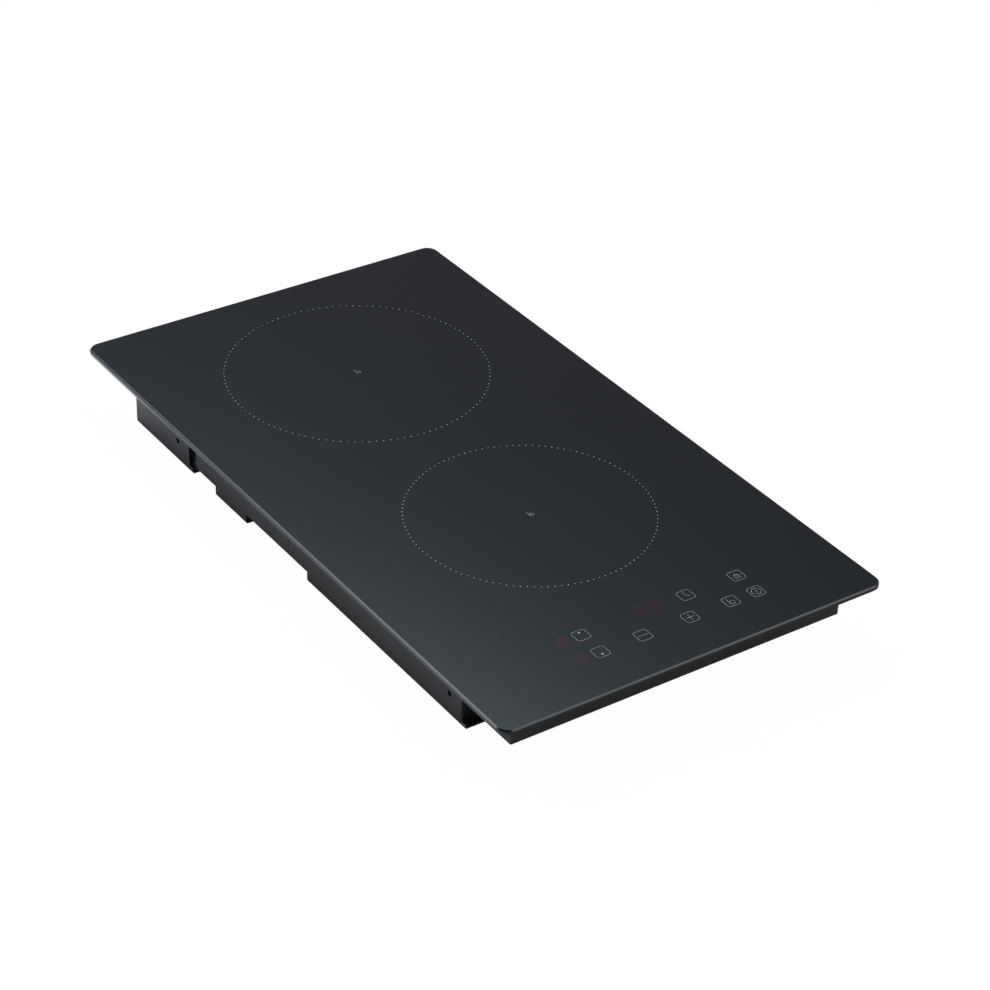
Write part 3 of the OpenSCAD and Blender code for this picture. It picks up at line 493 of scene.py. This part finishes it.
KEY_W, KEY_R, LINE, MARK_R = 10.1, 2.3, 0.34, 0.95
ROWS = (-204.4, -224.4)
KEYS = {"rear_select": (-50, 0), "front_select": (-50, 1), "minus": (-18, 1), "plus": (18, 1),
        "timer": (30, 0), "boost": (50, 1), "lock": (70, 0), "power": (70, 1)}
for name, (x, row) in KEYS.items():
    y = ROWS[row]
    key = Print("key_" + name, key_ink)
    key.rounded(x, y, KEY_W, KEY_W, KEY_R, LINE)
    if name == "rear_select":
        key.disc(x + 0.25, y + 2.7, MARK_R, 20)
    elif name == "front_select":
        key.disc(x - 0.1, y - 2.3, MARK_R, 20)
    elif name == "minus":
        key.bar(x - 3.3, y, x + 3.3, y, LINE)
    elif name == "plus":
        key.bar(x - 3.0, y, x + 3.0, y, LINE)
        key.bar(x, y + LINE / 2, x, y + 3.0, LINE)
        key.bar(x, y - LINE / 2, x, y - 3.0, LINE)
    elif name == "timer":
        key.bar(x - 0.4, y + 3.4, x + 0.05, y - 0.1, LINE)
        key.bar(x + 0.05, y - 0.1, x + 2.3, y - 1.8, LINE)
    elif name == "boost":
        key.letter_b(x, y, 3.9, 6.4, LINE)
    elif name == "lock":
        key.rounded(x, y - 1.0, 4.2, 3.2, 0.5, LINE)
        key.arc(x, y + 0.6, 1.25, LINE, 0.0, 180.0, 14)
        key.disc(x, y - 1.0, 0.32, 10)
    elif name == "power":
        key.arc(x, y, 3.15, LINE)
        key.bar(x, y - 2.0, x, y + 2.0, LINE)
    key.build()

# Each display: height of its digits, how far the glow spreads, and the places
LEAN = 0.12
DISPLAYS = {"zone": (9.2, 1.8, ((-63.7, -204.6), (-63.7, -224.0))),
            "timer": (10.2, 0.6, ((-3.2, -203.4), (6.8, -203.2)))}
for name, (tall, spread, places) in DISPLAYS.items():
    halo = Print(name + "_digits_halo", halo_ink)
    digits = Print(name + "_digits", segment_ink, 0.04)
    for x, y in places:
        halo.pad(x, y, 6.4 + spread, tall + spread, 2.2, LEAN)
        digits.digit(x, y, 6.0 + 0.6 * spread, tall, 1.3 + 0.25 * spread, LEAN)
    halo.build()
    digits.build()

# ---------------------------------------------------------------- floor and light

SPAN, FLOOR_DROP = 14.0, 0.0002
floor_mesh = bpy.data.meshes.new("floor")
corners = [(-SPAN, -SPAN, 0), (SPAN, -SPAN, 0), (SPAN, SPAN, 0), (-SPAN, SPAN, 0)]
floor_mesh.from_pydata(corners, [], [[0, 1, 2, 3]])
floor = bpy.data.objects.new("floor", floor_mesh)
floor.location.z = -FLOOR_DROP
scene.collection.objects.link(floor)

# White to the eye. Its mirror image in the hob is a painted reflection: bluish, with painted shade close
# to the case and in front, and painted light making it brighter towards the back on the left
PAINT, SEEN = (0.80, 0.80, 0.80), 0.985
# Bluish tint of the painted reflection, and the share of glow that reflections see
PAINTED_TINT, MIRRORED = (0.88, 0.93, 1.0), 0.9
# How far from the case the painted shade in the mirror image reaches, in metres
CASE_SHADE = 0.07
# The painted reflection starts at FIRST and changes along y - x: from, to, by how much, eased or not
FIRST = 0.29
STEPS = ((-0.15, -0.02, 0.63, False), (0.02, 0.12, -0.16, False),
         (0.30, 0.38, 0.40, True), (0.39, 0.47, 1.6, False))
m = bpy.data.materials.new("floor_white")
m.use_nodes = True
g = Nodes(m.node_tree)
path = g.add("ShaderNodeLightPath")
mirrored = g.math("MAXIMUM", path.outputs["Is Glossy Ray"], path.outputs["Is Transmission Ray"])
seen = g.math("MAXIMUM", g.math("MULTIPLY", path.outputs["Is Camera Ray"], SEEN),
              g.math("MULTIPLY", mirrored, MIRRORED))
paint = g.add("ShaderNodeBsdfDiffuse", {"Color": PAINT})
where = g.add("ShaderNodeSeparateXYZ", {"Vector": g.add("ShaderNodeTexCoord").outputs["Object"]})
across = g.math("SUBTRACT", where.outputs["Y"], where.outputs["X"])
# Painted shade: the glow seen in reflections dims where the case occludes the floor
near_case = g.add("ShaderNodeAmbientOcclusion", {"Distance": CASE_SHADE}, samples=6).outputs["AO"]
painted_shade_fac = g.ramp(near_case, 0.2, 0.8)
# Painted light and shade: the reflected glow steps along y - x, brightest towards the back on the left
painted_glow = FIRST
for start, end, change, eased in STEPS:
    painted_glow = g.math("ADD", painted_glow, g.ramp(across, start, end, 0.0, change, eased))
# The painted reflection: a bluish glow that carries the painted shade and the painted light
painted_reflection = g.scaled(PAINTED_TINT, g.math("MULTIPLY", painted_shade_fac, painted_glow))
light = g.mix(path.outputs["Is Camera Ray"], painted_reflection, WHITE)
glow = g.add("ShaderNodeEmission", {"Color": light, "Strength": 1.0})
both = g.add("ShaderNodeMixShader", {0: seen, 1: paint.outputs[0], 2: glow.outputs[0]})
g.add("ShaderNodeOutputMaterial", {"Surface": both.outputs[0]})
floor_mesh.materials.append(m)

# Studio: a wide overhead light leaning back with a soft edge, three smaller soft lights that catch
# the ground bevels, a dark gap high in front, a grey ceiling and a pale band along the horizon
OVERHEAD = Vector((-0.0896, 0.3313, 0.9393)).normalized()
EDGE, SOFTNESS = 0.768, 37.3  # where its full strength ends, and how fast it falls off outside
CEILING, LIGHT = (0.2288, 0.2303, 0.2633), (1.829, 2.102, 2.180)
# The gap: its middle, the cosines where it begins and is full, and where it dims the left spots
DARK, GAP_EDGE, DIMMED = (-0.485, -0.288, 0.825), (0.70, 0.86), (0.53, 0.68)
# Each spot: way, cosines where it is full and where it ends, strength
LEFT_SPOTS = (((-0.718, 0.441, 0.538), 0.978, 0.90, 3.8), ((-0.220, 0.682, 0.697), 0.985, 0.945, 6.0))
FRONT_SPOT = ((0.485, -0.549, 0.681), 0.95, 0.84, 2.0)
HORIZON = (0.42, 0.20)  # heights where the band begins and where it is full
BAND_FRONT, BAND_BACK = (0.40, 0.40, 0.41), (0.90, 0.90, 0.90)

world = bpy.data.worlds.new("studio")
scene.world = world
world.use_nodes = True
g = Nodes(world.node_tree)
way = g.add("ShaderNodeTexCoord").outputs["Generated"]
way = g.add("ShaderNodeVectorMath", {0: way}, operation="NORMALIZE").outputs[0]
past = g.math("SUBTRACT", g.dot(way, tuple(OVERHEAD)), EDGE)
box = g.math("MINIMUM", g.math("EXPONENT", g.math("MULTIPLY", past, SOFTNESS)), 1.0)
studio = g.mix(box, CEILING, LIGHT)
gap = g.dot(way, DARK)
studio = g.mix(g.ramp(gap, *GAP_EDGE, 0.0, 1.0, True), studio, BLACK)
for spot in (*LEFT_SPOTS, FRONT_SPOT):
    aim, full, end, power = spot
    near = g.ramp(g.dot(way, aim), end, full, 0.0, 1.0, True)
    if spot in LEFT_SPOTS:
        near = g.math("MULTIPLY", near, g.ramp(gap, *DIMMED, 1.0, 0.0, True))
    soft = g.mix(near, BLACK, (power, power, power))
    studio = g.add("ShaderNodeMix", {0: 1.0, 6: studio, 7: soft}, data_type="RGBA",
                   blend_type="ADD").outputs[2]
part = g.add("ShaderNodeSeparateXYZ", {"Vector": way})
band = g.ramp(part.outputs["Z"], *HORIZON, 0.0, 1.0, True)
low = g.mix(g.ramp(part.outputs["Y"], -0.5, 0.5), BAND_FRONT, BAND_BACK)
studio = g.mix(band, studio, low)
path = g.add("ShaderNodeLightPath")
sky = g.mix(path.outputs["Is Camera Ray"], studio, WHITE)
backdrop = g.add("ShaderNodeBackground", {"Color": sky, "Strength": 1.0})
g.add("ShaderNodeOutputWorld", {"Surface": backdrop.outputs[0]})
